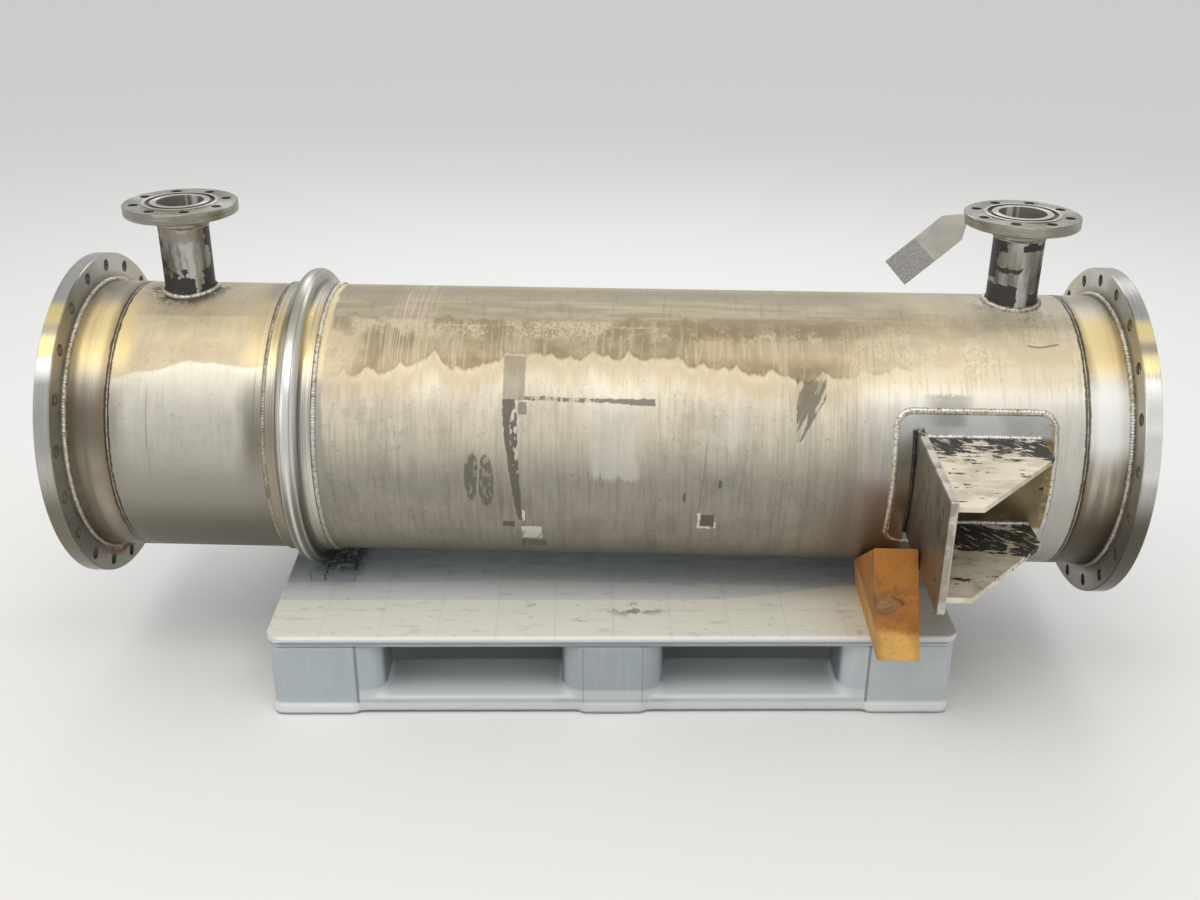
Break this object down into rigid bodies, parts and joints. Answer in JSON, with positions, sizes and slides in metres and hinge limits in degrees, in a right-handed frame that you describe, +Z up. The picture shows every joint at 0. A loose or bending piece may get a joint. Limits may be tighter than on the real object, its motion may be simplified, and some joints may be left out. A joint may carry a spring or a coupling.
{
  "type": "shell and tube heat exchanger",
  "caption": "Stainless shell and tube heat exchanger with flanged tubesheets, upright nozzles, a bellows and side lugs, wedged on a plastic pallet.",
  "frame": {"origin": "on the floor, under the middle of the shell's length and axis, which is the middle of the bounding box", "axes": "+X along the shell from the bellows end to the lug end, +Y from the front with the nearer lug to the back, +Z up along the nozzles"},
  "size_m": [1.892, 1.03, 0.8585],
  "materials": {
    "shell_steel": "pickled, dull",
    "machined_steel": "turned",
    "bellows_steel": "bright",
    "weld_steel": "brushed bright",
    "tube_steel": "drawn tube",
    "flaked_steel": "bare steel with remains of black coating",
    "pallet_plastic": "moulded, scuffed",
    "timber": "sawn softwood"
  },
  "bodies": {
    "root": {"shell_course_left": "shell_steel", "shell_course_right": "shell_steel", "end_ring_left": "shell_steel", "end_ring_right": "shell_steel", "expansion_bellows": "bellows_steel", "bellows_weld_left": "weld_steel", "bellows_weld_right": "weld_steel", "tubesheet_left": "machined_steel", "tubesheet_right": "machined_steel", "tubesheet_weld_left": "weld_steel", "tubesheet_weld_right": "weld_steel", "tube_bundle": "tube_steel", "nozzle_pipe_left": "shell_steel", "nozzle_flange_left": "machined_steel", "nozzle_weld_left": "weld_steel", "nozzle_butt_weld_left": "weld_steel", "nozzle_pipe_right": "shell_steel", "nozzle_flange_right": "machined_steel", "nozzle_weld_right": "weld_steel", "nozzle_butt_weld_right": "weld_steel", "lug_pad_front": "shell_steel", "lug_pad_weld_front": "weld_steel", "lug_plate_front": "shell_steel", "lug_gusset_upper_front": "flaked_steel", "lug_gusset_lower_front": "flaked_steel", "lug_pad_back": "shell_steel", "lug_pad_weld_back": "weld_steel", "lug_plate_back": "shell_steel", "lug_gusset_upper_back": "flaked_steel", "lug_gusset_lower_back": "flaked_steel", "plate_holder": "machined_steel", "pallet_deck": "pallet_plastic", "pallet_feet_front": "pallet_plastic", "pallet_feet_middle": "pallet_plastic", "pallet_feet_back": "pallet_plastic", "wedge_front": "timber", "wedge_back": "timber"}
  },
  "joints": []
}
